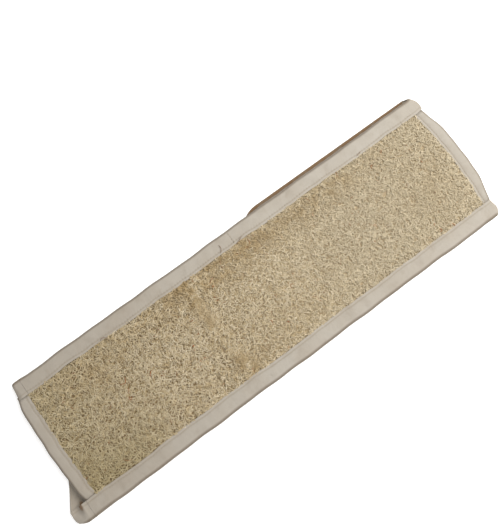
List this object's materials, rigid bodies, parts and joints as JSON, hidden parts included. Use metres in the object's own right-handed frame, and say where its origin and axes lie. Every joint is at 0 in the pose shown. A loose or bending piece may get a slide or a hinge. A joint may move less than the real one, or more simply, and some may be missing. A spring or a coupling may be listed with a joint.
{
  "type": "loofah back scrubber",
  "caption": "Long loofah back scrubber with a terry back, cotton tape binding and a hand loop at each end, folded flat behind it.",
  "frame": {"origin": "middle of the length and width, on the surface that the folded hand loops rest on", "axes": "+X along the panel, towards the end whose tape corner is rounded; +Y across it, towards the edge where the tape's two ends join; +Z out of the loofah face"},
  "size_m": [0.5076, 0.1518, 0.0126],
  "materials": {
    "loofah": "coarse curled natural fibre, matte",
    "terry": "looped cotton towelling, matte",
    "tape": "woven cotton tape, matte",
    "thread": "twisted cotton thread"
  },
  "bodies": {
    "panel_left": {"loofah_left": "loofah", "terry_back_left": "terry", "binding_upper_left": "tape", "binding_lower_left": "tape", "end_binding_left": "tape", "needle_thread_upper_left": "thread", "needle_thread_lower_left": "thread", "needle_thread_end_left": "thread", "bobbin_thread_upper_left": "thread", "bobbin_thread_lower_left": "thread", "bobbin_thread_end_left": "thread", "loofah_join_thread": "thread"},
    "panel_right": {"loofah_right": "loofah", "terry_back_right": "terry", "binding_upper_right": "tape", "binding_lower_right": "tape", "end_binding_right": "tape", "needle_thread_upper_right": "thread", "needle_thread_lower_right": "thread", "needle_thread_end_right": "thread", "bobbin_thread_upper_right": "thread", "bobbin_thread_lower_right": "thread", "bobbin_thread_end_right": "thread", "tape_join_thread": "thread"},
    "loop_left": {"hand_loop_left": "tape", "loop_thread_left": "thread"},
    "loop_right": {"hand_loop_right": "tape", "loop_thread_right": "thread"}
  },
  "joints": [
    {"name": "panel_fold", "type": "hinge", "parent": "panel_left", "child": "panel_right", "pos_m": [-0.04066, -0.00195, 0.0123], "axis": [0, -1, 0], "range_deg": [-40, 170]},
    {"name": "left_loop_swing", "type": "hinge", "parent": "panel_left", "child": "loop_left", "pos_m": [-0.24256, -0.00195, 0.0055], "axis": [0.0781, 0.9969, 0], "range_deg": [0, 178]},
    {"name": "right_loop_swing", "type": "hinge", "parent": "panel_right", "child": "loop_right", "pos_m": [0.24184, 0, 0.0055], "axis": [0, -1, 0], "range_deg": [0, 178]}
  ]
}
